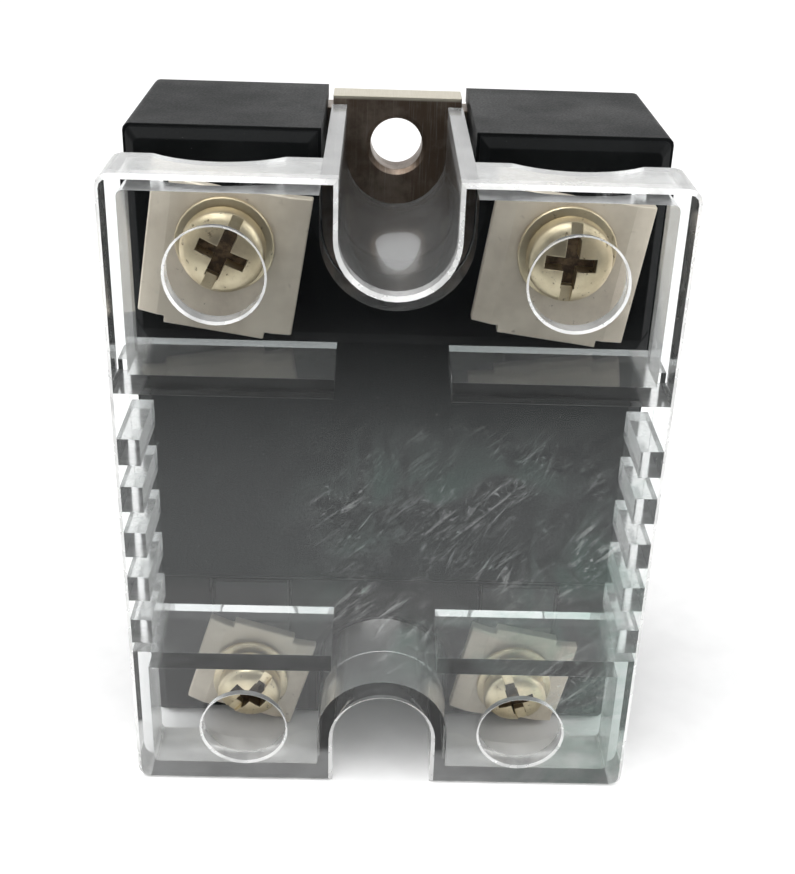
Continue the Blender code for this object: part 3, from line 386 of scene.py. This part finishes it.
FINISHES = {
    "black_plastic": black_plastic(),
    "clear_plastic": clear_plastic(),
    "base_metal": base_metal(),
    "clamp_steel": stamped_plate(),
    "screw_steel": screw_metal(),
    "tinned_copper": sealed_strap(),
    "bare_copper": plain("copper_foil", (0.55, 0.27, 0.15), (0.74, 0.40, 0.25), 0.34, 0.95),
    "alumina": plain("alumina_ceramic", (0.78, 0.77, 0.73), (0.88, 0.87, 0.84), 0.55),
    "silicon_die": plain("silicon", (0.10, 0.11, 0.14), (0.18, 0.19, 0.22), 0.22, 0.5),
    "board_laminate": plain("board_green", (0.02, 0.12, 0.05), (0.05, 0.20, 0.09), 0.42),
    "potting_resin": plain("cast_resin", (0.030, 0.030, 0.034), (0.06, 0.06, 0.065), 0.34),
    "chip_moulding": plain("chip_epoxy", (0.014, 0.014, 0.016), (0.03, 0.03, 0.032), 0.5),
    "chip_ceramic": plain("chip_body", (0.36, 0.28, 0.19), (0.50, 0.41, 0.30), 0.5),
    "diode_glass": plain("diode_glass", (0.40, 0.10, 0.05), (0.60, 0.20, 0.10), 0.18),
}
GRIME_AND_SHADE = grime_and_shade()


# ---------------------------------------------------------------- pieces of the relay

SHARP = math.radians(32)  # edges above this angle stay edges
FLAT = math.radians(0.8)  # faces within this angle of each other are one flat face
MERGE_DISTANCE = 0.002 * MM
SLIVER_LENGTH = 0.004 * MM
# Node name's ending: edge rounding. The other pieces have their edges from the CAD.
ROUNDING = {
    "clamp_plate": 0.13 * MM, "washer": 0.08 * MM, "nut": 0.12 * MM, "strap": 0.10 * MM
}
ROUNDING_SEGMENTS = 2

# A screw's recess, as depths under the top of its head and a share of the head's radius.
RECESS_REACH = 0.5
RECESS_WALL = 0.55 * MM
RECESS_FLOOR = 1.3 * MM
RECESS_LIMIT = 1.9 * MM


def clean_copy(node):
    """A node's mesh with its flat faces whole again, so that only real edges are left."""
    mesh = bmesh.new()
    mesh.from_mesh(NODES[node].data)
    bmesh.ops.remove_doubles(mesh, verts=mesh.verts, dist=MERGE_DISTANCE)
    bmesh.ops.dissolve_degenerate(mesh, edges=mesh.edges, dist=SLIVER_LENGTH)
    bmesh.ops.dissolve_limit(mesh, angle_limit=FLAT, verts=mesh.verts, edges=mesh.edges)
    bmesh.ops.recalc_face_normals(mesh, faces=mesh.faces)
    return mesh


def add_object(name, mesh, finish):
    """Put a mesh into the scene under this name, with one finish."""
    data = bpy.data.meshes.new(name)
    mesh.to_mesh(data)
    mesh.free()
    data.materials.append(finish)
    new_object = bpy.data.objects.new(name, data)
    bpy.context.scene.collection.objects.link(new_object)
    return new_object


def add_piece(node):
    """Make the visible piece that stands for a node."""
    piece = add_object(f"{node}_shape", clean_copy(node), FINISHES[SLOT_OF[node]])
    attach(piece, BODY_OF[node])
    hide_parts(node)
    return piece


def smooth_faces(piece):
    piece.data.shade_smooth()
    piece.data.set_sharp_from_angle(angle=SHARP)


def keep_flats(piece):
    """Turn each corner's normal like the faces near its own angle, so flats refract as flats."""
    mesh = piece.data
    around = [[] for _vertex in mesh.vertices]
    for face in mesh.polygons:
        for vertex in face.vertices:
            around[vertex].append(face)
    normals = []
    for face in mesh.polygons:
        for vertex in face.vertices:
            near = Vector()
            for other in around[vertex]:
                if other.normal.angle(face.normal, 0.0) < SHARP:
                    near += other.normal * other.area
            normals.append(near.normalized())
    mesh.normals_split_custom_set(normals)


def round_edges(piece, width):
    bevel = piece.modifiers.new("edges", "BEVEL")
    bevel.width = width
    bevel.segments = ROUNDING_SEGMENTS
    bevel.limit_method = "ANGLE"
    bevel.angle_limit = SHARP
    weighted = piece.modifiers.new("shading", "WEIGHTED_NORMAL")
    weighted.keep_sharp = True


def soil_and_shade_recess(piece, node):
    """Give the walls and floor of a screw's cross recess the dark finish of dirt and painted
    shade.
    """
    piece.data.materials.append(GRIME_AND_SHADE)
    low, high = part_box(node)
    middle = (low + high) / 2
    radius = (high.x - low.x) / 2
    for face in piece.data.polygons:
        depth = face.center.y - low.y
        out = math.hypot(face.center.x - middle.x, face.center.z - middle.z)
        if out > RECESS_REACH * radius or depth > RECESS_LIMIT:
            continue
        is_upright = abs(face.normal.y) < 0.5
        is_grimed_and_shaded = depth > RECESS_FLOOR or (depth > RECESS_WALL and is_upright)
        # Recess faces that get the dark finish of dirt and painted shade.
        face.material_index = int(is_grimed_and_shaded)


for node_name in sorted(NODES):
    made = add_piece(node_name)
    smooth_faces(made)
    if node_name.endswith("_screw"):
        soil_and_shade_recess(made, node_name)
    widths = [width for ending, width in ROUNDING.items() if node_name.endswith(ending)]
    if widths:
        round_edges(made, widths[0])
    else:
        keep_flats(made)


# ---------------------------------------------------------------- stage, lights and camera


def ribbon(profile, half_width):
    """A sheet that runs along X, from a profile of (y, z) points."""
    mesh = bmesh.new()
    rows = [[mesh.verts.new((side * half_width, y, z)) for y, z in profile] for side in (-1, 1)]
    for i in range(len(profile) - 1):
        mesh.faces.new((rows[0][i], rows[1][i], rows[1][i + 1], rows[0][i + 1]))
    return mesh


def add_stage():
    """A pale table that curves up into a pale backdrop."""
    t = Tree("pale_paper")
    paper = t.noise(300, 4)
    t.colour(t.mix(t.ramp(paper, 0.3, 0.7), (0.90, 0.90, 0.90), (0.93, 0.93, 0.93)))
    t.set(Roughness=0.85, Specular_IOR_Level=0.2)
    half_width, front, back, radius, height = 1.6, -0.9, 0.55, 0.25, 1.4
    steps = 12
    profile = [(front, 0.0), (back, 0.0)]
    for step in range(1, steps + 1):
        angle = math.radians(90 * step / steps)
        profile.append((back + radius * math.sin(angle), radius * (1 - math.cos(angle))))
    profile.append((back + radius, height))
    table = add_object("table", ribbon(profile, half_width), t.material)
    table.data.shade_smooth()


def add_dark_card():
    """A sheet in front of the relay, seen only in mirror images: a painted reflection, dark far
    off and paler near the relay.
    """
    reflection_sheet = Tree("painted_reflection_sheet")
    reflection_sheet.set(Roughness=0.9, Specular_IOR_Level=0.1)
    dark_up_to, pale_from = -0.135, -0.048
    # Painted reflection: dark far off, pale near the relay.
    near = reflection_sheet.ramp(reflection_sheet.where("Y"), dark_up_to, pale_from)
    dark_mottle = reflection_sheet.mix(reflection_sheet.noise(900, 3), (0.006, 0.006, 0.007), (0.014, 0.014, 0.015))
    reflection_sheet.colour(reflection_sheet.mix(near, dark_mottle, (0.74, 0.76, 0.76)))
    half_width = 0.45
    profile = [(-0.045, 0.0008), (-0.50, 0.0008), (-0.62, 0.12), (-0.62, 0.40)]
    card = add_object("dark_card", ribbon(profile, half_width), reflection_sheet.material)
    card.visible_camera = False
    card.visible_diffuse = False
    card.visible_shadow = False


def add_light(name, place, target, size, power):
    data = bpy.data.lights.new(name, "AREA")
    data.shape = "RECTANGLE"
    data.size, data.size_y = size
    data.energy = power
    light = bpy.data.objects.new(name, data)
    light.location = place
    aim = Vector(target) - Vector(place)
    light.rotation_euler = aim.to_track_quat("-Z", "Y").to_euler()
    bpy.context.scene.collection.objects.link(light)
    return light


def add_world(strength):
    world = bpy.data.worlds.new("soft_white")
    world.use_nodes = True
    background = world.node_tree.nodes["Background"]
    background.inputs["Color"].default_value = (1.0, 1.0, 1.0, 1.0)
    background.inputs["Strength"].default_value = strength
    bpy.context.scene.world = world


def add_camera():
    """The camera looks down on the cover from the front, with a slight turn and roll."""
    pitch = math.radians(27.27)
    yaw = math.radians(1.30)
    roll = math.radians(1.98)
    forward = Vector(
        (math.sin(yaw) * math.cos(pitch), math.cos(yaw) * math.cos(pitch), -math.sin(pitch))
    )
    right = forward.cross(Vector((0, 0, 1))).normalized()
    up = right.cross(forward)
    rolled_right = right * math.cos(roll) + up * math.sin(roll)
    rolled_up = up * math.cos(roll) - right * math.sin(roll)
    place = Vector((-1.80, -107.85, 85.26)) * MM
    data = bpy.data.cameras.new("camera")
    data.sensor_width = 36.0
    data.lens = 53.33
    data.shift_x = 0.0018
    data.clip_start = 0.005
    camera = bpy.data.objects.new("camera", data)
    turn = Matrix((rolled_right, rolled_up, -forward)).transposed().to_4x4()
    camera.matrix_world = Matrix.Translation(place) @ turn
    bpy.context.scene.collection.objects.link(camera)
    bpy.context.scene.camera = camera


add_stage()
add_dark_card()
add_world(0.85)
add_light("key_soft_box", (-0.25, -0.25, 0.75), (0, 0, 0.02), (0.7, 0.5), 4.0)
add_light("fill_soft_box", (0.55, -0.2, 0.35), (0, 0, 0.03), (0.4, 0.5), 1.5)
add_camera()
bpy.context.scene.view_settings.view_transform = "Standard"
